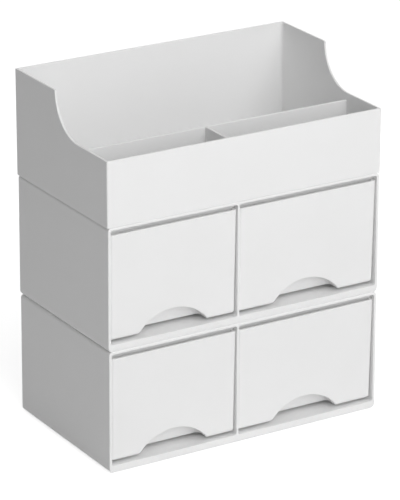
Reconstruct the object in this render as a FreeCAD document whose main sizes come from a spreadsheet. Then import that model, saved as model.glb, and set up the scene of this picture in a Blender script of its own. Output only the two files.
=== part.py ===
"""Stackable desk organizer: an open tray on two drawer cases that hold two drawers each.

Units are millimetres. +Z is up, the drawers open towards -Y, and the origin is under the
middle of the object, on the surface that it stands on.
"""
import FreeCAD, Part
import math
import os

import Sketcher

# Driving dimensions: alias, value, and what it is.
DIMENSIONS = [
    ("unit_width", 250.0, "width of every module"),
    ("unit_depth", 145.0, "depth of every module"),
    ("case_height", 102.0, "height of one drawer case, which is also the stacking pitch"),
    ("case_wall", 2.2, "side and back walls of a case"),
    ("case_roof", 2.0, "top panel of a case"),
    ("case_floor_top", 6.2, "top of a case's floor above its standing edge"),
    ("case_lean", 0.66, "how far each side wall leans in over the case's height"),
    ("case_foot_radius", 4.0, "rounding of the long bottom edges of a case"),
    ("case_shoulder_radius", 2.8, "rounding of the long top edges of a case"),
    ("case_back_radius", 2.0, "rounding of the edges round a case's back"),
    ("case_mouth_radius", 0.7, "rounding of the edges round a case's front"),
    ("case_relief_height", 2.4, "height of the sloped relief along the lower front edge"),
    ("case_relief_depth", 0.5, "depth of that relief"),
    ("bay_radius", 1.8, "rounding of the long corners inside a bay"),
    ("lip_inset", 6.6, "front face of the lip under the roof, from the front"),
    ("lip_thickness", 1.6, "thickness of that lip"),
    ("lip_gap", 0.5, "gap between that lip and the sides of a drawer"),
    ("divider_place", -7.5, "middle of the bay divider, from the middle of the case"),
    ("divider_thickness", 1.7, "thickness of the bay divider"),
    ("rail_height", 2.3, "height of the rails that a drawer slides on"),
    ("rail_width", 3.0, "width of those rails"),
    ("rail_inset", 12.0, "rail middle, from the side of its bay"),
    ("rail_start", 16.0, "front end of the rails, from the front"),
    ("rail_end", 4.0, "rear end of the rails, from the back"),
    ("stop_height", 1.2, "height of the drawer stop on the case floor"),
    ("stop_width", 36.0, "width of the drawer stop"),
    ("stop_front", 24.0, "front of the stop's ramp, from the front"),
    ("stop_rear", 26.5, "rear face of the stop, from the front"),
    ("skirt_side", 6.0, "width of the standing edge along the sides"),
    ("skirt_front", 5.0, "width of the standing edge along front and back"),
    ("skirt_radius", 3.0, "corner radius inside the standing edge"),
    ("floor_thickness", 2.2, "floor of every moulding"),
    ("rib_thickness", 1.4, "stiffening ribs under a case"),
    ("rib_height", 1.8, "height of those ribs"),
    ("nest_height", 1.6, "height of the locating corners on top of a case"),
    ("nest_thickness", 1.6, "wall of the locating corners"),
    ("nest_leg", 22.0, "length of each leg of a locating corner"),
    ("nest_gap", 0.35, "play between a locating corner and the standing edge above"),
    ("nest_radius", 3.2, "rounding of a locating corner, which clears the corner radius above"),
    ("drawer_height", 87.0, "height of a drawer"),
    ("drawer_lift", 2.5, "gap between a case's floor and a drawer"),
    ("drawer_setback", 0.6, "drawer front behind the case's front, at the drawer's top"),
    ("drawer_side_gap", 0.3, "gap beside a drawer at its top"),
    ("drawer_rear_gap", 1.2, "gap behind a shut drawer"),
    ("drawer_side_lean", 0.2, "how much narrower each side is at a drawer's bottom"),
    ("drawer_front_lean", 2.0, "how much a drawer's front leans in at its bottom"),
    ("drawer_wall", 1.8, "side and back walls of a drawer"),
    ("drawer_front_wall", 2.4, "front wall of a drawer, which leans as a whole"),
    ("drawer_radius", 2.6, "outer rounding of a drawer"),
    ("drawer_rim_radius", 0.5, "rounding of a drawer's rim"),
    ("drawer_rim_step", 3.0, "how much lower a drawer's sides and rear are than its front"),
    ("scoop_chord", 63.0, "width of the finger scoop at the drawer's bottom edge"),
    ("scoop_height", 16.0, "height of the finger scoop"),
    ("scoop_depth", 15.9, "rear wall of the finger scoop, behind the drawer's upper front edge"),
    ("scoop_blend", 3.5, "blend between the scoop's arc and its rear wall"),
    ("scoop_edge_radius", 0.6, "rounding of the scoop's front edge"),
    ("tab_width", 28.0, "width of the catch under the rear of a drawer"),
    ("tab_height", 1.9, "height of that catch"),
    ("tab_thickness", 2.0, "thickness of that catch"),
    ("tab_inset", 6.0, "front face of the catch, from the drawer's back"),
    ("tray_front_height", 54.0, "height of the tray's low rim"),
    ("tray_back_height", 88.5, "height of the tray's back"),
    ("tray_wall", 2.0, "walls of the tray"),
    ("tray_recess", 2.4, "depth of the hollow under the tray"),
    ("tray_arc_end", 45.5, "where the side arcs meet the low rim, from the front"),
    ("tray_corner_radius", 1.2, "outer upright corners of the tray"),
    ("tray_inner_radius", 2.5, "inner upright corners of the tray"),
    ("tray_rim_radius", 0.6, "rounding of the tray's rims"),
    ("tray_divider_thickness", 1.9, "dividers in the tray"),
    ("tray_divider_drop", 5.7, "dividers below the low rim"),
    ("tray_cross_place", 47.4, "middle of the cross divider, from the front"),
    ("tray_short_place", -9.0, "middle of the short divider, from the tray's middle"),
    ("pad_diameter", 14.0, "anti-slip pads"),
    ("pad_proud", 0.6, "how far the pads stand below the case"),
    ("pad_inset_x", 18.0, "pad middles from the sides"),
    ("pad_inset_y", 17.0, "pad middles from front and back"),
]

SIDES = {"left": -1, "right": 1}
LEVELS = {"lower": 0, "upper": 1}

doc = FreeCAD.newDocument("desk_organizer")
sheet = doc.addObject("Spreadsheet::Sheet", "dims")
for row, (alias, value, meaning) in enumerate(DIMENSIONS, start=1):
    sheet.set(f"A{row}", meaning)
    sheet.set(f"B{row}", str(value))
    sheet.setAlias(f"B{row}", alias)
doc.recompute()

HALF_WIDTH = "dims.unit_width / 2"
HALF_DEPTH = "dims.unit_depth / 2"
SKIRT_X = f"({HALF_WIDTH} - dims.skirt_side)"
SKIRT_Y = f"({HALF_DEPTH} - dims.skirt_front)"
RECESS = "(dims.case_floor_top - dims.floor_thickness)"
RIM_CLEARANCE = (
    "(dims.case_height - dims.case_roof - dims.case_floor_top - dims.drawer_lift"
    " - dims.drawer_height)"
)


def number(expression):
    """The value of an expression on the sheet's aliases."""
    result = sheet.evalExpression(expression.replace("dims.", ""))
    return float(getattr(result, "Value", result))


def sketch_on(body, name, role, offset="0"):
    """An empty sketch on one of the body's origin planes, moved along the plane's normal."""
    plane = next(f for f in body.Origin.OriginFeatures if f.Role == role)
    sketch = body.newObject("Sketcher::SketchObject", name)
    sketch.AttachmentSupport = [(plane, "")]
    sketch.MapMode = "FlatFace"
    sketch.setExpression("AttachmentOffset.Base.z", offset)
    return sketch


def pin(sketch, geometry, point, x=None, y=None):
    """Ties a point of the sketch to expressions for its two coordinates."""
    for kind, expression in (("DistanceX", x), ("DistanceY", y)):
        if expression is not None:
            index = sketch.addConstraint(
                Sketcher.Constraint(kind, -1, 1, geometry, point, number(expression))
            )
            sketch.setExpression(f"Constraints[{index}]", expression)


def polygon(sketch, points):
    """A closed loop of straight lines through points given as pairs of expressions."""
    corners = [FreeCAD.Vector(number(x), number(y), 0) for x, y in points]
    first = sketch.GeometryCount
    count = len(points)
    for i in range(count):
        sketch.addGeometry(Part.LineSegment(corners[i], corners[(i + 1) % count]), False)
    for i, (x, y) in enumerate(points):
        previous = first + (i - 1) % count
        sketch.addConstraint(Sketcher.Constraint("Coincident", previous, 2, first + i, 1))
        pin(sketch, first + i, 1, x, y)


def rectangle(sketch, x0, y0, x1, y1):
    """A closed rectangle between two corners given as expressions."""
    polygon(sketch, [(x0, y0), (x1, y0), (x1, y1), (x0, y1)])


def lines_and_arc(sketch, points, arc_index, centre, centre_pin):
    """A closed loop whose side arc_index is an arc round centre and whose others are lines.

    centre_pin says which coordinate of the centre is tied: "x" or "y". The other follows
    from the arc's two ends.
    """
    corners = [FreeCAD.Vector(number(x), number(y), 0) for x, y in points]
    middle = FreeCAD.Vector(number(centre[0]), number(centre[1]), 0)
    count = len(points)
    ends = {}
    for i in range(count):
        start, stop = corners[i], corners[(i + 1) % count]
        if i != arc_index:
            sketch.addGeometry(Part.LineSegment(start, stop), False)
            ends[i] = (1, 2)
            continue
        angles = [math.atan2(p.y - middle.y, p.x - middle.x) for p in (start, stop)]
        swept = (angles[1] - angles[0]) % (2 * math.pi)
        forward = swept < math.pi
        low, high = angles if forward else angles[::-1]
        circle = Part.Circle(middle, FreeCAD.Vector(0, 0, 1), (start - middle).Length)
        sketch.addGeometry(Part.ArcOfCircle(circle, low, high), False)
        ends[i] = (1, 2) if forward else (2, 1)
    for i, (x, y) in enumerate(points):
        previous = (i - 1) % count
        sketch.addConstraint(
            Sketcher.Constraint("Coincident", previous, ends[previous][1], i, ends[i][0])
        )
        pin(sketch, i, ends[i][0], x, y)
    if centre_pin == "x":
        pin(sketch, arc_index, 3, x=centre[0])
    else:
        pin(sketch, arc_index, 3, y=centre[1])


def extrude(body, kind, name, sketch, length, reverse=False, both_ways=False):
    """A Pad or Pocket of the sketch. Checks that the solid really grew or shrank."""
    before = body.Tip.Shape.Volume if body.Tip else 0.0
    feature = body.newObject(f"PartDesign::{kind}", name)
    feature.Profile = sketch
    feature.setExpression("Length", length)
    feature.Reversed = reverse
    feature.Midplane = both_ways
    doc.recompute()
    change = feature.Shape.Volume - before
    if (change > 0) != (kind == "Pad") or abs(change) < 1e-3:
        raise RuntimeError(f"{body.Label}: {name} changed the volume by {change}")
    return feature


def round_edges(body, name, radius, chosen):
    """A fillet on every edge of the body's last feature that chosen() accepts."""
    base = body.Tip
    edges = enumerate(base.Shape.Edges, start=1)
    names = [f"Edge{i}" for i, e in edges if not e.Degenerated and chosen(e)]
    if not names:
        raise RuntimeError(f"{body.Label}: {name} found no edge")
    fillet = body.newObject("PartDesign::Fillet", name)
    fillet.Base = (base, names)
    fillet.setExpression("Radius", f"dims.{radius}")
    doc.recompute()
    if "Invalid" in fillet.State or fillet.Shape.isNull():
        raise RuntimeError(f"{body.Label}: {name} failed on {names}")
    return fillet


def spans(edge, low=(None, None, None), high=(None, None, None), margin=0.02):
    """True if the edge lies inside the box, where None leaves a side of the box open."""
    box = edge.BoundBox
    lows, highs = (box.XMin, box.YMin, box.ZMin), (box.XMax, box.YMax, box.ZMax)
    above = all(a is None or b >= a - margin for a, b in zip(low, lows))
    below = all(a is None or b <= a + margin for a, b in zip(high, highs))
    return above and below


def runs_along(edge, axis):
    """True for a straight edge that runs along axis 0, 1 or 2, give or take a lean."""
    if edge.Curve.TypeId != "Part::GeomLine":
        return False
    return abs(edge.Curve.Direction[axis]) > 0.99


def new_body(name, x="0", y="0", z="0"):
    """A body at a place given by three expressions."""
    body = doc.addObject("PartDesign::Body", name)
    body.Label = name
    for axis, expression in (("x", x), ("y", y), ("z", z)):
        body.setExpression(f"Placement.Base.{axis}", expression)
    return body


def hollow_under(body, depth):
    """The hollow inside the standing edge, which drops over the locating corners below."""
    sketch = sketch_on(body, "hollow_sketch", "XY_Plane")
    rectangle(sketch, f"-{SKIRT_X}", f"-{SKIRT_Y}", SKIRT_X, SKIRT_Y)
    extrude(body, "Pocket", "hollow", sketch, depth, reverse=True)
    x, y, top = number(SKIRT_X), number(SKIRT_Y), number(depth)
    round_edges(
        body, "hollow_corners", "skirt_radius",
        lambda e: runs_along(e, 2) and spans(e, (-x, -y, 0), (x, y, top)),
    )


def bay_outline(side):
    """The four corners of one bay, in the plane of the case's front, as expressions."""
    sign = SIDES[side]
    face = f"(dims.divider_place + {sign} * dims.divider_thickness / 2)"
    roof = "(dims.case_height - dims.case_roof)"
    foot = f"({sign} * ({HALF_WIDTH} - dims.case_wall - {lean_at('dims.case_floor_top')}))"
    head = f"({sign} * ({HALF_WIDTH} - dims.case_wall - {lean_at(roof)}))"
    return [(foot, "dims.case_floor_top"), (face, "dims.case_floor_top"), (face, roof), (head, roof)]


def lean_at(height):
    """How far a case's side wall leans in at a height."""
    return f"(dims.case_lean * {height} / dims.case_height)"


def bay_middle(side):
    """The middle of a bay at the height of the drawer's rim."""
    wall, face = bay_ends(side)
    return f"(({wall} + {face}) / 2)"


def bay_ends(side):
    """The outer wall and the divider face of a bay at the height of the drawer's rim."""
    sign = SIDES[side]
    rim = "(dims.case_floor_top + dims.drawer_lift + dims.drawer_height)"
    wall = f"({sign} * ({HALF_WIDTH} - dims.case_wall - {lean_at(rim)}))"
    face = f"(dims.divider_place + {sign} * dims.divider_thickness / 2)"
    return wall, face


def build_case(level):
    """One drawer case: a moulded shell with two bays, open at the front."""
    height = f"dims.pad_proud + {LEVELS[level]} * dims.case_height"
    body = new_body(f"{level}_case", z=height)
    half_width, half_depth = number(HALF_WIDTH), number(HALF_DEPTH)
    tall = number("dims.case_height")

    outline = sketch_on(body, "outline", "XZ_Plane", HALF_DEPTH)
    top = f"({HALF_WIDTH} - dims.case_lean)"
    polygon(outline, [
        (f"-{HALF_WIDTH}", "0"), (HALF_WIDTH, "0"),
        (top, "dims.case_height"), (f"-{top}", "dims.case_height"),
    ])
    extrude(body, "Pad", "block", outline, "dims.unit_depth", reverse=True)
    round_edges(body, "foot_edges", "case_foot_radius",
                lambda e: runs_along(e, 1) and spans(e, high=(None, None, 0)))
    round_edges(body, "shoulder_edges", "case_shoulder_radius",
                lambda e: runs_along(e, 1) and spans(e, low=(None, None, tall)))
    round_edges(body, "back_edges", "case_back_radius",
                lambda e: spans(e, low=(None, half_depth, None)))
    round_edges(body, "mouth_edges", "case_mouth_radius",
                lambda e: spans(e, high=(None, -half_depth, None)))

    relief = sketch_on(body, "relief_sketch", "YZ_Plane")
    polygon(relief, [
        (f"-{HALF_DEPTH}", "dims.case_relief_height"),
        (f"-{HALF_DEPTH} - 1", "dims.case_relief_height"),
        (f"-{HALF_DEPTH} - 1", "-1"),
        (f"-{HALF_DEPTH} + dims.case_relief_depth", "-1"),
        (f"-{HALF_DEPTH} + dims.case_relief_depth", "0"),
    ])
    extrude(body, "Pocket", "relief", relief, "dims.unit_width", both_ways=True)

    for side in SIDES:
        bay = sketch_on(body, f"{side}_bay_sketch", "XZ_Plane", HALF_DEPTH)
        polygon(bay, bay_outline(side))
        extrude(body, "Pocket", f"{side}_bay", bay, "dims.unit_depth - dims.case_wall")
    low, roof = number("dims.case_floor_top"), number("dims.case_height - dims.case_roof")
    inner = half_width - number("dims.case_wall")
    round_edges(
        body, "bay_corners", "bay_radius",
        lambda e: runs_along(e, 1) and spans(e, (-inner, None, low), (inner, None, roof)),
    )

    for side in SIDES:
        build_lip(body, side)
        build_runners(body, side)
    hollow_under(body, RECESS)
    build_ribs(body)
    build_locating_corners(body)
    return body


def build_lip(body, side):
    """The lip that stiffens the roof over a bay, just behind the front of a shut drawer."""
    _, _, (face, roof), (head, _) = bay_outline(side)
    low = f"({roof} - dims.drawer_rim_step - {RIM_CLEARANCE} + dims.lip_gap)"
    hidden = "dims.divider_thickness / 2"
    sign = SIDES[side]
    start = f"({HALF_DEPTH} - dims.lip_inset)"
    profile = sketch_on(body, f"{side}_lip_sketch", "XZ_Plane", start)
    rectangle(
        profile, f"{face} - {sign} * {hidden}", low,
        f"{head} + {sign} * {hidden}", f"{roof} + dims.case_roof / 2",
    )
    extrude(body, "Pad", f"{side}_lip", profile, "dims.lip_thickness", reverse=True)
    front, bottom = -number(start), number(low)
    inner, outer = sorted((number(face), number(head)))
    round_edges(
        body, f"{side}_lip_edges", "case_mouth_radius",
        lambda e: runs_along(e, 0) and spans(
            e, (inner - 1, front, bottom), (outer + 1, front + number("dims.lip_thickness"), bottom)
        ),
    )


def build_runners(body, side):
    """The two rails and the stop on the floor of a bay."""
    (foot, floor), (face, _), _, _ = bay_outline(side)
    middle = bay_middle(side)
    reach = f"(abs({foot} - {face}) / 2 - dims.rail_inset)"
    rails = sketch_on(body, f"{side}_rail_sketch", "XY_Plane", floor)
    for sign in (-1, 1):
        place = f"({middle} + {sign} * {reach})"
        rectangle(
            rails, f"{place} - dims.rail_width / 2", f"-{HALF_DEPTH} + dims.rail_start",
            f"{place} + dims.rail_width / 2", f"{HALF_DEPTH} - dims.rail_end",
        )
    extrude(body, "Pad", f"{side}_rails", rails, "dims.rail_height")

    ramp = sketch_on(body, f"{side}_stop_sketch", "YZ_Plane", f"{middle} - dims.stop_width / 2")
    front, rear = f"-{HALF_DEPTH} + dims.stop_front", f"-{HALF_DEPTH} + dims.stop_rear"
    crest = f"{floor} + dims.stop_height"
    polygon(ramp, [
        (front, floor), (rear, floor), (rear, crest), (f"{rear} - dims.stop_height / 2", crest),
    ])
    extrude(body, "Pad", f"{side}_stop", ramp, "dims.stop_width")


def build_ribs(body):
    """Stiffening ribs that hang from the underside of the floor inside the hollow."""
    grid = sketch_on(body, "rib_sketch", "XY_Plane", RECESS)
    half = "dims.rib_thickness / 2"
    for third in (-1, 1):
        place = f"({third} * {SKIRT_X} / 3)"
        rectangle(grid, f"{place} - {half}", f"-{SKIRT_Y}", f"{place} + {half}", SKIRT_Y)
    extrude(body, "Pad", "long_ribs", grid, "dims.rib_height", reverse=True)
    cross = sketch_on(body, "cross_rib_sketch", "XY_Plane", RECESS)
    rectangle(cross, f"-{SKIRT_X}", f"-{half}", SKIRT_X, half)
    extrude(body, "Pad", "cross_rib", cross, "dims.rib_height", reverse=True)


def build_locating_corners(body):
    """Four raised corners on the roof that hold the module above in place."""
    corners = sketch_on(body, "locating_sketch", "XY_Plane", "dims.case_height")
    outer_x, outer_y = f"({SKIRT_X} - dims.nest_gap)", f"({SKIRT_Y} - dims.nest_gap)"
    none, leg, wall = "0", "dims.nest_leg", "dims.nest_thickness"
    steps = [(none, none), (leg, none), (leg, wall), (wall, wall), (wall, leg), (none, leg)]
    for sx in (-1, 1):
        for sy in (-1, 1):
            polygon(corners, [
                (f"{sx} * ({outer_x} - {along})", f"{sy} * ({outer_y} - {across})")
                for along, across in steps
            ])
    extrude(body, "Pad", "locating_corners", corners, "dims.nest_height")
    roof, x, y = number("dims.case_height"), number(outer_x), number(outer_y)
    round_edges(
        body, "locating_corner_edges", "nest_radius",
        lambda e: runs_along(e, 2) and spans(e, low=(None, None, roof))
        and abs(abs(e.BoundBox.XMin) - x) < 0.01 and abs(abs(e.BoundBox.YMin) - y) < 0.01,
    )


def build_drawer(level, side):
    """One drawer: a leaning open box with a finger scoop under its front."""
    wall, face = bay_ends(side)
    bottom = (f"dims.pad_proud + {LEVELS[level]} * dims.case_height"
              " + dims.case_floor_top + dims.drawer_lift")
    body = new_body(f"{level}_{side}_drawer", x=bay_middle(side),
                    y=f"-{HALF_DEPTH} + dims.drawer_setback", z=bottom)
    half_top = f"(abs({wall} - {face}) / 2 - dims.drawer_side_gap)"
    half_foot = f"({half_top} - dims.drawer_side_lean)"
    depth = ("(dims.unit_depth - dims.case_wall - dims.drawer_rear_gap"
             " - dims.drawer_setback)")
    tall = number("dims.drawer_height")

    outline = sketch_on(body, "outline", "XZ_Plane")
    polygon(outline, [
        (f"-{half_foot}", "0"), (half_foot, "0"),
        (half_top, "dims.drawer_height"), (f"-{half_top}", "dims.drawer_height"),
    ])
    extrude(body, "Pad", "block", outline, depth, reverse=True)
    wedge = sketch_on(body, "front_lean_sketch", "YZ_Plane")
    polygon(wedge, [
        ("0", "dims.drawer_height"), ("-1", "dims.drawer_height"), ("-1", "0"),
        ("dims.drawer_front_lean", "0"),
    ])
    extrude(body, "Pocket", "front_lean", wedge, "dims.unit_width", both_ways=True)
    round_edges(body, "outer_edges", "drawer_radius",
                lambda e: not spans(e, low=(None, None, tall)))

    build_cavity(body, half_foot, depth)
    build_scoop(body)

    catch = sketch_on(body, "catch_sketch", "XY_Plane")
    rear = f"({depth} - dims.tab_inset)"
    rectangle(catch, "-dims.tab_width / 2", rear, "dims.tab_width / 2", f"{rear} + dims.tab_thickness")
    extrude(body, "Pad", "catch", catch, "dims.tab_height", reverse=True)
    start = "(dims.drawer_front_wall + dims.drawer_radius + dims.drawer_rim_radius)"
    side_rim = "(dims.drawer_height - dims.drawer_rim_step)"
    step = sketch_on(body, "rim_step_sketch", "YZ_Plane")
    rectangle(step, start, side_rim, f"{depth} + 1", "dims.drawer_height + 1")
    extrude(body, "Pocket", "rim_step", step, "dims.unit_width", both_ways=True)
    behind, ledge = number(start), number(side_rim)
    round_edges(
        body, "rim_edges", "drawer_rim_radius",
        lambda e: spans(e, (None, behind, ledge), (None, None, ledge))
        and not spans(e, high=(None, behind, None)),
    )
    round_edges(
        body, "front_rim_edges", "drawer_rim_radius",
        lambda e: spans(e, low=(None, None, tall)) and not spans(e, low=(None, behind, None)),
    )
    return body


def build_cavity(body, half_foot, depth):
    """The inside of a drawer: cut down to the floor behind a front wall that leans."""
    slope = "(dims.drawer_front_lean / dims.drawer_height)"
    floor, above = "dims.floor_thickness", "(dims.drawer_height + 1)"
    low = f"(dims.drawer_front_wall + dims.drawer_front_lean - {slope} * {floor})"
    high = f"(dims.drawer_front_wall + dims.drawer_front_lean - {slope} * {above})"
    rear, inside = f"({depth} - dims.drawer_wall)", f"({half_foot} - dims.drawer_wall)"
    profile = sketch_on(body, "cavity_sketch", "YZ_Plane")
    polygon(profile, [(low, floor), (rear, floor), (rear, above), (high, above)])
    extrude(body, "Pocket", "cavity", profile, f"2 * {inside}", both_ways=True)
    tall, half = number("dims.drawer_height"), number(inside)
    box_low = (-half, number(high), number(floor))
    round_edges(
        body, "cavity_edges", "drawer_radius",
        lambda e: spans(e, box_low, (half, number(rear), None))
        and not spans(e, low=(None, None, tall)),
    )


def build_scoop(body):
    """The finger scoop: its housing inside the drawer first, then the scoop itself."""
    rise, chord = "dims.scoop_height", "dims.scoop_chord"
    radius = f"(({chord} * {chord} / 4 + {rise} * {rise}) / (2 * {rise}))"
    centre = f"({rise} - {radius})"
    wall = "dims.drawer_wall"
    level = "dims.floor_thickness / 2"
    reach = f"sqrt(({radius} + {wall}) ^ 2 - ({level} - {centre}) ^ 2)"
    face = "(dims.drawer_front_lean + dims.drawer_front_wall / 2)"

    housing = sketch_on(body, "scoop_housing_sketch", "XZ_Plane", f"-({face})")
    lines_and_arc(housing, [(reach, level), (f"-{reach}", level)], 0, ("0", centre), "y")
    extrude(body, "Pad", "scoop_housing", housing,
            f"dims.scoop_depth + {wall} - {face}", reverse=True)
    depth = number(f"dims.scoop_depth + {wall}")
    floor = number("dims.floor_thickness")
    round_edges(
        body, "scoop_housing_edge", "scoop_blend",
        lambda e: spans(e, (None, depth, floor), (None, depth, None))
        and e.Curve.TypeId == "Part::GeomCircle",
    )

    half = f"{chord} / 2"
    scoop = sketch_on(body, "scoop_sketch", "XZ_Plane", "1")
    lines_and_arc(
        scoop, [(half, "0"), (f"-{half}", "0"), (f"-{half}", "-1"), (half, "-1")],
        0, ("0", centre), "y",
    )
    extrude(body, "Pocket", "scoop", scoop, "dims.scoop_depth + 1")
    deep = number("dims.scoop_depth")
    round_edges(
        body, "scoop_rear_blend", "scoop_blend",
        lambda e: spans(e, (None, deep, -1), (None, deep, None))
        and e.Curve.TypeId == "Part::GeomCircle",
    )
    lip = number("dims.drawer_front_lean + dims.drawer_radius")
    edge_top, edge_half = number(rise), number(half)
    round_edges(
        body, "scoop_lip", "scoop_edge_radius",
        lambda e: spans(e, (-edge_half, None, 0), (edge_half, lip, edge_top), 0.05)
        and not runs_along(e, 0),
    )


def build_tray():
    """The open tray: high back, low front, arced side walls and moulded-in dividers."""
    body = new_body("top_tray", z="dims.pad_proud + 2 * dims.case_height")
    half_width, half_depth = number(HALF_WIDTH), number(HALF_DEPTH)
    back, rim = number("dims.tray_back_height"), number("dims.tray_front_height")

    base = sketch_on(body, "outline", "XY_Plane")
    rectangle(base, f"-{HALF_WIDTH}", f"-{HALF_DEPTH}", HALF_WIDTH, HALF_DEPTH)
    extrude(body, "Pad", "block", base, "dims.tray_back_height")
    round_edges(body, "upright_edges", "tray_corner_radius", lambda e: runs_along(e, 2))
    round_edges(body, "standing_edges", "tray_rim_radius",
                lambda e: spans(e, high=(None, None, 0)))

    inner_x, inner_y = f"({HALF_WIDTH} - dims.tray_wall)", f"({HALF_DEPTH} - dims.tray_wall)"
    floor = "(dims.tray_recess + dims.floor_thickness)"
    cavity = sketch_on(body, "cavity_sketch", "XY_Plane", "dims.tray_back_height")
    rectangle(cavity, f"-{inner_x}", f"-{inner_y}", inner_x, inner_y)
    extrude(body, "Pocket", "cavity", cavity, f"dims.tray_back_height - {floor}")
    x, y, z = number(inner_x), number(inner_y), number(floor)
    round_edges(
        body, "cavity_edges", "tray_inner_radius",
        lambda e: spans(e, (-x, -y, z), (x, y, None)) and not spans(e, low=(None, None, back)),
    )

    arc_end = f"(-{HALF_DEPTH} + dims.tray_arc_end)"
    radius = "(dims.tray_back_height - dims.tray_front_height)"
    step = sketch_on(body, "side_arc_sketch", "YZ_Plane")
    lines_and_arc(
        step,
        [
            (arc_end, "dims.tray_front_height"),
            (f"{arc_end} + {radius}", "dims.tray_back_height"),
            (f"{arc_end} + {radius}", "dims.tray_back_height + 1"),
            (f"-{HALF_DEPTH} - 1", "dims.tray_back_height + 1"),
            (f"-{HALF_DEPTH} - 1", "dims.tray_front_height"),
        ],
        0, (arc_end, "dims.tray_back_height"), "x",
    )
    extrude(body, "Pocket", "side_arc", step, "dims.unit_width + 2", both_ways=True)
    end = number(f"{arc_end} + {radius}")
    round_edges(
        body, "arc_tips", "tray_corner_radius",
        lambda e: runs_along(e, 0) and spans(e, (None, end, back), (None, end, back)),
    )
    tip = end + number("dims.tray_corner_radius")
    round_edges(
        body, "rim_edges", "tray_rim_radius",
        lambda e: (spans(e, (None, None, rim), (None, tip, None)) and not runs_along(e, 0))
        or spans(e, (None, None, rim), (None, None, rim))
        or spans(e, (None, None, back)),
    )

    build_tray_dividers(body, inner_x, inner_y, floor)
    hollow_under(body, "dims.tray_recess")
    return body


def build_tray_dividers(body, inner_x, inner_y, floor):
    """The full-width cross divider and the short divider in front of it."""
    top = "(dims.tray_front_height - dims.tray_divider_drop)"
    half = "dims.tray_divider_thickness / 2"
    overlap = "dims.tray_wall / 2"
    cross = f"(-{HALF_DEPTH} + dims.tray_cross_place)"
    plan = sketch_on(body, "cross_divider_sketch", "XY_Plane", f"{floor} - 1")
    rectangle(plan, f"-{inner_x} - {overlap}", f"{cross} - {half}",
              f"{inner_x} + {overlap}", f"{cross} + {half}")
    extrude(body, "Pad", "cross_divider", plan, f"{top} - {floor} + 1")
    short = sketch_on(body, "short_divider_sketch", "XY_Plane", f"{floor} - 1")
    rectangle(short, f"dims.tray_short_place - {half}", f"-{inner_y} - {overlap}",
              f"dims.tray_short_place + {half}", cross)
    extrude(body, "Pad", "short_divider", short, f"{top} - {floor} + 1")
    level = number(top)
    round_edges(
        body, "divider_edges", "tray_rim_radius",
        lambda e: spans(e, (None, None, level), (None, None, level))
        and e.Length > number("dims.tray_divider_thickness") + 0.01,
    )


def build_pad(end, side):
    """An anti-slip pad in a corner of the lower case's hollow, standing just proud of it."""
    sign_x, sign_y = SIDES[side], {"front": -1, "rear": 1}[end]
    pad = doc.addObject("Part::Cylinder", f"{end}_{side}_pad")
    pad.Label = f"{end}_{side}_pad"
    pad.setExpression("Radius", "dims.pad_diameter / 2")
    pad.setExpression("Height", f"dims.pad_proud + {RECESS}")
    pad.setExpression("Placement.Base.x", f"{sign_x} * ({HALF_WIDTH} - dims.pad_inset_x)")
    pad.setExpression("Placement.Base.y", f"{sign_y} * ({HALF_DEPTH} - dims.pad_inset_y)")
    return pad


subparts = [build_case(level) for level in LEVELS]
subparts += [build_drawer(level, side) for level in LEVELS for side in SIDES]
subparts.append(build_tray())
subparts += [build_pad(end, side) for end in ("front", "rear") for side in SIDES]
doc.recompute()

for item in doc.Objects:
    if {"Invalid", "Error"} & set(item.State):
        raise RuntimeError(f"{item.Label} failed: {item.State}")
for subpart in subparts:
    if subpart.Shape.isNull() or not subpart.Shape.isValid():
        raise RuntimeError(f"{subpart.Label} has no valid shape")

os.makedirs("parts", exist_ok=True)
for subpart in subparts:
    subpart.Shape.exportStep(f"parts/{subpart.Label}.step")
    box = subpart.Shape.BoundBox
    print(f"{subpart.Label}: {subpart.Shape.Volume / 1000:.1f} cm3, {len(subpart.Shape.Solids)} solid,"
          f" z {box.ZMin:.1f} to {box.ZMax:.1f}")
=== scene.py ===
"""Looks of a stackable desk organizer: satin moulded cases, drawers, an open tray and pads."""
import logging
import math
from dataclasses import dataclass
from enum import Enum

import bmesh
import bpy
from mathutils import Matrix, Vector
from mathutils.bvhtree import BVHTree


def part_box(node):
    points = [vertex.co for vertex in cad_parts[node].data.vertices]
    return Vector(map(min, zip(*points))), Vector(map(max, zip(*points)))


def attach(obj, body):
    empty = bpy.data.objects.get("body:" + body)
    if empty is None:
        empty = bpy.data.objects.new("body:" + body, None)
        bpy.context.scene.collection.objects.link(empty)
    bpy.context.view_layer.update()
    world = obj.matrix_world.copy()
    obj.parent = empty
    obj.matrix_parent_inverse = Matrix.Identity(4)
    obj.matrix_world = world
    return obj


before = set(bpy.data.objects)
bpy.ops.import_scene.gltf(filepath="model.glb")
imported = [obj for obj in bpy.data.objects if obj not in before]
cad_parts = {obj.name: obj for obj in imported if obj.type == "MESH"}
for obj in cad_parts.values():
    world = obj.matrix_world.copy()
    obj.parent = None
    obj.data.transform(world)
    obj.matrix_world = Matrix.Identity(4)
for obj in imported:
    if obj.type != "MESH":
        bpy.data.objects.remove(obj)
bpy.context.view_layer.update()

LOG = logging.getLogger("desk_organizer")
MM = 0.001


class Slot(Enum):
    """The material slots of the part's record."""

    CASE = "case_plastic"
    DRAWER = "drawer_plastic"
    TRAY = "tray_plastic"
    PAD = "pad_rubber"


# --------------------------------------------------------------------------- shader helpers


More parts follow.
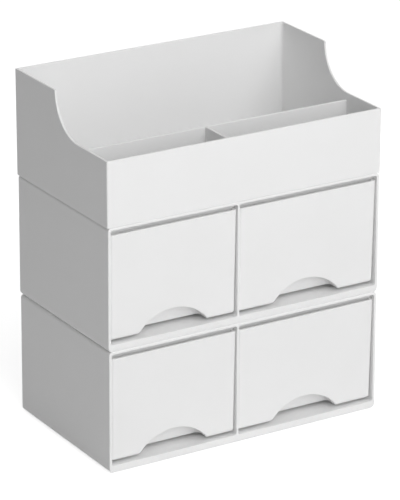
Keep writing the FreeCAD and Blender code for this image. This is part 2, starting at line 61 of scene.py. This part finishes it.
class NodeBook:
    """A small helper that adds nodes to a tree and links them by socket name."""

    def __init__(self, tree: bpy.types.NodeTree) -> None:
        """Starts with an empty tree.

        Args:
            tree: The node tree of a material, a world or a group.
        """
        self.tree = tree
        self.tree.nodes.clear()

    def add(self, kind: str, **settings: object) -> bpy.types.Node:
        """Adds one node.

        Args:
            kind: The node's type name.
            settings: Attributes to set on it.

        Returns:
            The new node.
        """
        node = self.tree.nodes.new(kind)
        for name, value in settings.items():
            setattr(node, name, value)
        return node

    def link(self, source: bpy.types.NodeSocket, target: bpy.types.NodeSocket) -> None:
        """Joins an output to an input.

        Args:
            source: The output.
            target: The input.
        """
        self.tree.links.new(source, target)

    def sockets(self, direction: str, names: dict[str, str]) -> None:
        """Adds the named sockets of a group.

        Args:
            direction: INPUT or OUTPUT.
            names: Each socket's name and its type.
        """
        for name, kind in names.items():
            self.tree.interface.new_socket(name, in_out=direction, socket_type=kind)


class SharedEffects:
    """Shader effects that several finishes use, each built once as a node group."""

    FINE_DETAIL = 2.0
    FINE_ROUGHNESS = 0.6
    WAVE_DETAIL = 1.0
    SLOW_DETAIL = 3.0
    SLOW_ROUGHNESS = 0.55
    DRIFT_RANGE = (0.3, 0.7)

    def __init__(self) -> None:
        """Builds the groups."""
        self.grain = self._grain()
        self.drift = self._drift()

    @classmethod
    def _grain(cls) -> bpy.types.NodeTree:
        """The fine etched grain of a mould, over a faint slow waviness of the wall.

        Returns:
            A group with Grain Scale, Wave Scale and Wave Share in, Height and Mask out.
        """
        tree = bpy.data.node_groups.new("mould_grain", "ShaderNodeTree")
        book = NodeBook(tree)
        book.sockets("INPUT", {
            "Grain Scale": "NodeSocketFloat", "Wave Scale": "NodeSocketFloat",
            "Wave Share": "NodeSocketFloat",
        })
        book.sockets("OUTPUT", {"Height": "NodeSocketFloat", "Mask": "NodeSocketFloat"})
        given = book.add("NodeGroupInput")
        out = book.add("NodeGroupOutput")
        place = book.add("ShaderNodeTexCoord")
        fine = book.add("ShaderNodeTexNoise")
        fine.inputs["Detail"].default_value = cls.FINE_DETAIL
        fine.inputs["Roughness"].default_value = cls.FINE_ROUGHNESS
        wave = book.add("ShaderNodeTexNoise")
        wave.inputs["Detail"].default_value = cls.WAVE_DETAIL
        blend = book.add("ShaderNodeMix", data_type="FLOAT")
        book.link(place.outputs["Object"], fine.inputs["Vector"])
        book.link(place.outputs["Object"], wave.inputs["Vector"])
        book.link(given.outputs["Grain Scale"], fine.inputs["Scale"])
        book.link(given.outputs["Wave Scale"], wave.inputs["Scale"])
        book.link(given.outputs["Wave Share"], blend.inputs["Factor"])
        book.link(fine.outputs["Fac"], blend.inputs["A"])
        book.link(wave.outputs["Fac"], blend.inputs["B"])
        book.link(blend.outputs["Result"], out.inputs["Height"])
        book.link(fine.outputs["Fac"], out.inputs["Mask"])
        return tree

    @classmethod
    def _drift(cls) -> bpy.types.NodeTree:
        """A faint slow change of tone, as thickness and flow give a light moulding.

        Returns:
            A group with Light, Deep and Scale in, Color and Mask out.
        """
        tree = bpy.data.node_groups.new("tone_drift", "ShaderNodeTree")
        book = NodeBook(tree)
        book.sockets("INPUT", {
            "Light": "NodeSocketColor", "Deep": "NodeSocketColor", "Scale": "NodeSocketFloat",
        })
        book.sockets("OUTPUT", {"Color": "NodeSocketColor", "Mask": "NodeSocketFloat"})
        given = book.add("NodeGroupInput")
        out = book.add("NodeGroupOutput")
        place = book.add("ShaderNodeTexCoord")
        slow = book.add("ShaderNodeTexNoise")
        slow.inputs["Detail"].default_value = cls.SLOW_DETAIL
        slow.inputs["Roughness"].default_value = cls.SLOW_ROUGHNESS
        spread = book.add("ShaderNodeMapRange", interpolation_type="SMOOTHSTEP")
        spread.inputs["From Min"].default_value = cls.DRIFT_RANGE[0]
        spread.inputs["From Max"].default_value = cls.DRIFT_RANGE[1]
        tint = book.add("ShaderNodeMix", data_type="RGBA")
        book.link(place.outputs["Object"], slow.inputs["Vector"])
        book.link(given.outputs["Scale"], slow.inputs["Scale"])
        book.link(slow.outputs["Fac"], spread.inputs["Value"])
        book.link(spread.outputs["Result"], tint.inputs["Factor"])
        book.link(given.outputs["Deep"], tint.inputs["A"])
        book.link(given.outputs["Light"], tint.inputs["B"])
        book.link(tint.outputs["Result"], out.inputs["Color"])
        book.link(spread.outputs["Result"], out.inputs["Mask"])
        return tree


@dataclass(frozen=True)
class Finish:
    """A matt or satin surface: a drifting tone, a grain in bump and roughness."""

    name: str
    tone: float
    tone_swing: float
    drift_scale: float
    roughness_low: float
    roughness_high: float
    grain_scale: float
    wave_scale: float
    wave_share: float
    bump_strength: float
    bump_depth: float
    specular: float = 0.5
    deep_blue_share: float = 0.998

    def make(self, effects: SharedEffects) -> bpy.types.Material:
        """Builds the material.

        Args:
            effects: The shared node groups.

        Returns:
            The finished material.
        """
        material = bpy.data.materials.new(self.name)
        material.use_nodes = True
        book = NodeBook(material.node_tree)
        out = book.add("ShaderNodeOutputMaterial")
        shader = book.add("ShaderNodeBsdfPrincipled")
        shader.inputs["Specular IOR Level"].default_value = self.specular
        drift = book.add("ShaderNodeGroup", node_tree=effects.drift)
        deep = self.tone * (1.0 - self.tone_swing)
        drift.inputs["Light"].default_value = (self.tone, self.tone, self.tone, 1.0)
        drift.inputs["Deep"].default_value = (deep, deep, deep * self.deep_blue_share, 1.0)
        drift.inputs["Scale"].default_value = self.drift_scale
        grain = book.add("ShaderNodeGroup", node_tree=effects.grain)
        grain.inputs["Grain Scale"].default_value = self.grain_scale
        grain.inputs["Wave Scale"].default_value = self.wave_scale
        grain.inputs["Wave Share"].default_value = self.wave_share
        gloss = book.add("ShaderNodeMapRange")
        gloss.inputs["To Min"].default_value = self.roughness_low
        gloss.inputs["To Max"].default_value = self.roughness_high
        bump = book.add("ShaderNodeBump")
        bump.inputs["Strength"].default_value = self.bump_strength
        bump.inputs["Distance"].default_value = self.bump_depth
        book.link(drift.outputs["Color"], shader.inputs["Base Color"])
        book.link(grain.outputs["Mask"], gloss.inputs["Value"])
        book.link(gloss.outputs["Result"], shader.inputs["Roughness"])
        book.link(grain.outputs["Height"], bump.inputs["Height"])
        book.link(bump.outputs["Normal"], shader.inputs["Normal"])
        book.link(shader.outputs["BSDF"], out.inputs["Surface"])
        return material


def satin(name: str, drift_scale: float, wave_scale: float, roughness_low: float) -> Finish:
    """The satin white of the mouldings.

    Args:
        name: The material's name.
        drift_scale: How finely its tone drifts.
        wave_scale: How finely its walls wave.
        roughness_low: The roughness of its smoothest spots.

    Returns:
        The finish.
    """
    return Finish(
        name, tone=0.86, tone_swing=0.012, drift_scale=drift_scale, roughness_low=roughness_low,
        roughness_high=roughness_low + 0.12, grain_scale=5200.0, wave_scale=wave_scale,
        wave_share=0.5, bump_strength=0.25, bump_depth=0.04 * MM,
    )


FINISHES: dict[Slot, Finish] = {
    Slot.CASE: satin("case_satin_white", 14.0, 55.0, 0.40),
    Slot.DRAWER: satin("drawer_satin_white", 17.0, 60.0, 0.38),
    Slot.TRAY: satin("tray_satin_white", 12.0, 50.0, 0.40),
    Slot.PAD: Finish(
        "pad_soft_grey", tone=0.60, tone_swing=0.06, drift_scale=160.0, roughness_low=0.62,
        roughness_high=0.80, grain_scale=2600.0, wave_scale=300.0, wave_share=0.35,
        bump_strength=0.5, bump_depth=0.06 * MM, specular=0.35,
    ),
}


# --------------------------------------------------------------------------- studio


@dataclass(frozen=True)
class Lamp:
    """A large soft square lamp that faces the middle of the object."""

    name: str
    azimuth: float
    elevation: float
    distance: float
    size: float
    power: float
    aim_height: float = 0.15

    def build(self) -> None:
        """Hangs the lamp; azimuth 0 is in front, and it grows towards the object's right."""
        data = bpy.data.lights.new(self.name, "AREA")
        data.shape = "SQUARE"
        data.size = self.size
        data.energy = self.power
        lamp = bpy.data.objects.new(self.name, data)
        bpy.context.scene.collection.objects.link(lamp)
        turn, rise = math.radians(self.azimuth), math.radians(self.elevation)
        level = math.cos(rise)
        away = Vector((math.sin(turn) * level, -math.cos(turn) * level, math.sin(rise)))
        place = Vector((0.0, 0.0, self.aim_height)) + away * self.distance
        facing = away.to_track_quat("Z", "Y").to_matrix().to_4x4()
        lamp.matrix_world = Matrix.Translation(place) @ facing


LAMPS = (
    Lamp("key_lamp", azimuth=5.0, elevation=48.0, distance=2.5, size=2.4, power=34.0),
    Lamp("low_front_lamp", azimuth=-8.0, elevation=12.0, distance=2.5, size=1.6, power=20.5),
    Lamp("rear_lamp", azimuth=150.0, elevation=35.0, distance=2.9, size=2.4, power=14.0),
)


@dataclass
class Studio:
    """Camera, floor, world and lamps."""

    sensor_width: float = 36.0
    lens: float = 223.2
    view_reach: float = 50.0
    camera_place: tuple[float, float, float] = (-1.2091, -1.9861, 1.0288)
    yaw: float = 31.36
    pitch: float = 20.93
    roll: float = 0.11
    floor_half: float = 6.0
    ambient: float = 0.17
    floor_bounce: float = 0.80
    floor_glow: float = 0.70

    def build(self) -> None:
        """Builds all of it."""
        self._camera()
        self._floor()
        self._world()
        for lamp in LAMPS:
            lamp.build()
        view = bpy.context.scene.view_settings
        view.view_transform = "Standard"

    def _camera(self) -> None:
        """Places the camera."""
        data = bpy.data.cameras.new("camera")
        data.sensor_width = self.sensor_width
        data.lens = self.lens
        data.clip_end = self.view_reach
        camera = bpy.data.objects.new("camera", data)
        bpy.context.scene.collection.objects.link(camera)
        turn = (
            Matrix.Rotation(-math.radians(self.yaw), 4, "Z")
            @ Matrix.Rotation(math.radians(90.0 - self.pitch), 4, "X")
            @ Matrix.Rotation(math.radians(self.roll), 4, "Z")
        )
        camera.matrix_world = Matrix.Translation(self.camera_place) @ turn
        bpy.context.scene.camera = camera

    def _floor(self) -> None:
        """The floor: plain for light that bounces, white to the camera, and open from below."""
        mesh = bpy.data.meshes.new("floor")
        shape = bmesh.new()
        bmesh.ops.create_grid(shape, x_segments=1, y_segments=1, size=self.floor_half)
        shape.to_mesh(mesh)
        shape.free()
        floor = bpy.data.objects.new("floor", mesh)
        bpy.context.scene.collection.objects.link(floor)
        material = bpy.data.materials.new("floor_white")
        material.use_nodes = True
        book = NodeBook(material.node_tree)
        out = book.add("ShaderNodeOutputMaterial")
        plain = book.add("ShaderNodeBsdfDiffuse")
        bounce = self.floor_bounce
        plain.inputs["Color"].default_value = (bounce, bounce, bounce, 1.0)
        glow = book.add("ShaderNodeEmission")
        glow.inputs["Strength"].default_value = self.floor_glow
        seen = book.add("ShaderNodeAddShader")
        book.link(plain.outputs["BSDF"], seen.inputs[0])
        book.link(glow.outputs["Emission"], seen.inputs[1])
        direct = self._seen_directly(book)
        choice = book.add("ShaderNodeMixShader")
        book.link(direct, choice.inputs["Fac"])
        book.link(plain.outputs["BSDF"], choice.inputs[1])
        book.link(seen.outputs["Shader"], choice.inputs[2])
        below = book.add("ShaderNodeNewGeometry")
        clear = book.add("ShaderNodeBsdfTransparent")
        sided = book.add("ShaderNodeMixShader")
        book.link(below.outputs["Backfacing"], sided.inputs["Fac"])
        book.link(choice.outputs["Shader"], sided.inputs[1])
        book.link(clear.outputs["BSDF"], sided.inputs[2])
        book.link(sided.outputs["Shader"], out.inputs["Surface"])
        mesh.materials.append(material)

    @staticmethod
    def _seen_directly(book: NodeBook) -> bpy.types.NodeSocket:
        """One for camera, glossy and transmission rays, zero for the others.

        Args:
            book: The tree that the nodes go in.

        Returns:
            The socket that gives it.
        """
        path = book.add("ShaderNodeLightPath")
        first = book.add("ShaderNodeMath", operation="MAXIMUM")
        second = book.add("ShaderNodeMath", operation="MAXIMUM")
        book.link(path.outputs["Is Camera Ray"], first.inputs[0])
        book.link(path.outputs["Is Glossy Ray"], first.inputs[1])
        book.link(first.outputs["Value"], second.inputs[0])
        book.link(path.outputs["Is Transmission Ray"], second.inputs[1])
        return second.outputs["Value"]

    def _world(self) -> None:
        """An even light all round, and white where the camera sees it."""
        world = bpy.data.worlds.new("studio")
        bpy.context.scene.world = world
        world.use_nodes = True
        book = NodeBook(world.node_tree)
        out = book.add("ShaderNodeOutputWorld")
        light = book.add("ShaderNodeBackground")
        light.inputs["Strength"].default_value = self.ambient
        white = book.add("ShaderNodeBackground")
        choice = book.add("ShaderNodeMixShader")
        for shader in (light, white):
            shader.inputs["Color"].default_value = (1.0, 1.0, 1.0, 1.0)
        book.link(self._seen_directly(book), choice.inputs["Fac"])
        book.link(light.outputs["Background"], choice.inputs[1])
        book.link(white.outputs["Background"], choice.inputs[2])
        book.link(choice.outputs["Shader"], out.inputs["Surface"])


# --------------------------------------------------------------------------- pieces


@dataclass(frozen=True)
class MouldMark:
    """A low round mark that an ejector pin or a gate leaves on a moulding."""

    radius: float
    height: float
    dimple: float
    sunk: float = 0.1 * MM
    segments: int = 40
    edge: float = 0.04 * MM
    edge_segments: int = 2
    ring_share: float = 0.45

    def place(self, shape: bmesh.types.BMesh, spot: Vector, normal: Vector) -> None:
        """Adds one mark to a mesh.

        Args:
            shape: The mesh that gathers the marks.
            spot: The middle of the mark, on the wall.
            normal: The wall's outward direction there.
        """
        turn = normal.to_track_quat("Z", "Y").to_matrix().to_4x4()
        middle = spot + normal * (self.height - self.sunk) / 2.0
        made = bmesh.ops.create_cone(
            shape, cap_ends=True, cap_tris=False, segments=self.segments, radius1=self.radius,
            radius2=self.radius, depth=self.height + self.sunk, matrix=Matrix.Translation(middle) @ turn,
        )
        faces = {face for vert in made["verts"] for face in vert.link_faces}
        outer = max(faces, key=lambda face: (face.calc_center_median() - spot).dot(normal))
        bmesh.ops.bevel(
            shape, geom=list(outer.edges), offset=self.edge, offset_type="OFFSET",
            segments=self.edge_segments, affect="EDGES", profile=0.5, material=-1,
        )
        caps = [face for face in shape.faces if len(face.verts) == self.segments]
        top = max(caps, key=lambda face: self._rank(face, spot, normal))
        bmesh.ops.inset_region(
            shape, faces=[top], thickness=self.radius * self.ring_share, depth=-self.dimple,
            use_even_offset=True,
        )

    def _rank(self, face: bmesh.types.BMFace, spot: Vector, normal: Vector) -> tuple[bool, float]:
        """Ranks a cap: those of this mark first, and of these the outer one.

        Args:
            face: The cap.
            spot: The middle of the mark, on the wall.
            normal: The wall's outward direction there.

        Returns:
            Whether it is at the mark, and how far out it lies.
        """
        away = face.calc_center_median() - spot
        return away.length < 2.0 * self.height, away.dot(normal)


EJECTOR = MouldMark(radius=3.0 * MM, height=0.12 * MM, dimple=0.06 * MM)
GATE = MouldMark(radius=1.6 * MM, height=0.25 * MM, dimple=0.12 * MM)
PLUMB_START = 5.0 * MM
FLAT_ENOUGH = 0.99


@dataclass
class SubAssembly:
    """One body: its moulding, which comes from the CAD, and the small marks on it."""

    body: str
    slot: Slot
    materials: dict[Slot, bpy.types.Material]

    def build(self) -> None:
        """Dresses the moulding."""
        self.dress(self.body, self.slot)

    def dress(self, node: str, slot: Slot) -> None:
        """Gives a CAD node its finish.

        Args:
            node: The node's name.
            slot: The record's slot for it.
        """
        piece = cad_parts[node]
        for place in piece.material_slots:
            place.material = self.materials[slot]
        LOG.info("dressed %s with %s", node, self.materials[slot].name)

    def mark_wall(self, columns: tuple[float, ...], rows: tuple[float, ...],
                  gate: tuple[float, float], down: bool) -> None:
        """Adds a grid of pin marks and one gate mark.

        Args:
            columns: The pins' places across, as shares of the moulding's box.
            rows: Their places from front to back.
            gate: The gate's place, across and from front to back.
            down: True for a wall seen from above, False for one seen from below.
        """
        pins = [(column, row) for column in columns for row in rows]
        self._marks(f"{self.body}_pin_marks", EJECTOR, pins, down)
        self._marks(f"{self.body}_gate_mark", GATE, [gate], down)

    def _marks(
        self, name: str, mark: MouldMark, spots: list[tuple[float, float]], down: bool
    ) -> None:
        """Adds marks where plumb lines first meet the moulding.

        Args:
            name: The new piece's name.
            mark: The kind of mark.
            spots: Places in plan, as shares of the moulding's box from its low corner.
            down: True for lines that fall from above, False for lines that rise from below.
        """
        low, high = (Vector(corner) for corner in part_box(self.body))
        wall = self._solid_of(self.body)
        start = high.z + PLUMB_START if down else low.z - PLUMB_START
        heading = Vector((0.0, 0.0, -1.0 if down else 1.0))
        shape = bmesh.new()
        for across, deep in spots:
            x = low.x + (high.x - low.x) * across
            y = low.y + (high.y - low.y) * deep
            spot, normal, _, _ = wall.ray_cast(Vector((x, y, start)), heading)
            if spot is None or abs(normal.z) < FLAT_ENOUGH:
                LOG.warning("%s: no flat wall at %.2f, %.2f", name, across, deep)
                continue
            mark.place(shape, spot, -heading)
        self._finish_piece(name, shape)

    @staticmethod
    def _solid_of(node: str) -> BVHTree:
        """A search tree over a CAD node's faces.

        Args:
            node: The node's name.

        Returns:
            The tree, in the shared frame.
        """
        shape = bmesh.new()
        shape.from_mesh(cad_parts[node].data)
        tree = BVHTree.FromBMesh(shape)
        shape.free()
        return tree

    def _finish_piece(self, name: str, shape: bmesh.types.BMesh) -> None:
        """Turns a mesh in hand into a piece that rides on this body.

        Args:
            name: The piece's name.
            shape: The mesh, which is used up.
        """
        mesh = bpy.data.meshes.new(name)
        bmesh.ops.recalc_face_normals(shape, faces=shape.faces)
        shape.to_mesh(mesh)
        shape.free()
        mesh.materials.append(self.materials[self.slot])
        piece = bpy.data.objects.new(name, mesh)
        bpy.context.scene.collection.objects.link(piece)
        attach(piece, self.body)
        LOG.info("built %s with %d faces", name, len(mesh.polygons))


@dataclass
class DrawerCase(SubAssembly):
    """A case with two drawer bays."""

    pads: tuple[str, ...] = ()
    marked_below: bool = False
    pin_columns: tuple[float, ...] = (0.16, 0.36, 0.64, 0.84)
    pin_rows: tuple[float, ...] = (0.3, 0.7)
    gate: tuple[float, float] = (0.42, 0.5)

    def build(self) -> None:
        """Dresses the case and its pads, and marks its underside where it can be seen."""
        super().build()
        for pad in self.pads:
            self.dress(pad, Slot.PAD)
        if self.marked_below:
            self.mark_wall(self.pin_columns, self.pin_rows, self.gate, down=False)


@dataclass
class Drawer(SubAssembly):
    """An open-topped drawer with a finger scoop."""

    pin_columns: tuple[float, ...] = (0.2, 0.5, 0.8)
    pin_rows: tuple[float, ...] = (0.32, 0.82)
    gate: tuple[float, float] = (0.5, 0.57)

    def build(self) -> None:
        """Dresses the drawer and marks its floor."""
        super().build()
        self.mark_wall(self.pin_columns, self.pin_rows, self.gate, down=True)


@dataclass
class TopTray(SubAssembly):
    """The open tray with a raised back and three compartments."""

    pin_columns: tuple[float, ...] = (0.12, 0.38, 0.62, 0.88)
    pin_rows: tuple[float, ...] = (0.16, 0.5, 0.84)
    gate: tuple[float, float] = (0.5, 0.67)

    def build(self) -> None:
        """Dresses the tray and marks its floor."""
        super().build()
        self.mark_wall(self.pin_columns, self.pin_rows, self.gate, down=True)


class Organizer:
    """The whole desk organizer, by sub-assembly."""

    def __init__(self, materials: dict[Slot, bpy.types.Material]) -> None:
        """Names the sub-assemblies.

        Args:
            materials: The finish of each slot.
        """
        sides = ("left", "right")
        pads = tuple(f"{end}_{side}_pad" for end in ("front", "rear") for side in sides)
        self.parts: list[SubAssembly] = [
            DrawerCase("lower_case", Slot.CASE, materials, pads=pads, marked_below=True),
            DrawerCase("upper_case", Slot.CASE, materials),
            TopTray("top_tray", Slot.TRAY, materials),
        ]
        for level in ("lower", "upper"):
            for side in sides:
                self.parts.append(Drawer(f"{level}_{side}_drawer", Slot.DRAWER, materials))

    def build(self) -> None:
        """Builds every sub-assembly."""
        for part in self.parts:
            part.build()


def main() -> None:
    """Builds the studio, then the organizer."""
    logging.basicConfig(level=logging.INFO)
    Studio().build()
    effects = SharedEffects()
    Organizer({slot: finish.make(effects) for slot, finish in FINISHES.items()}).build()


if __name__ == "__main__":
    main()
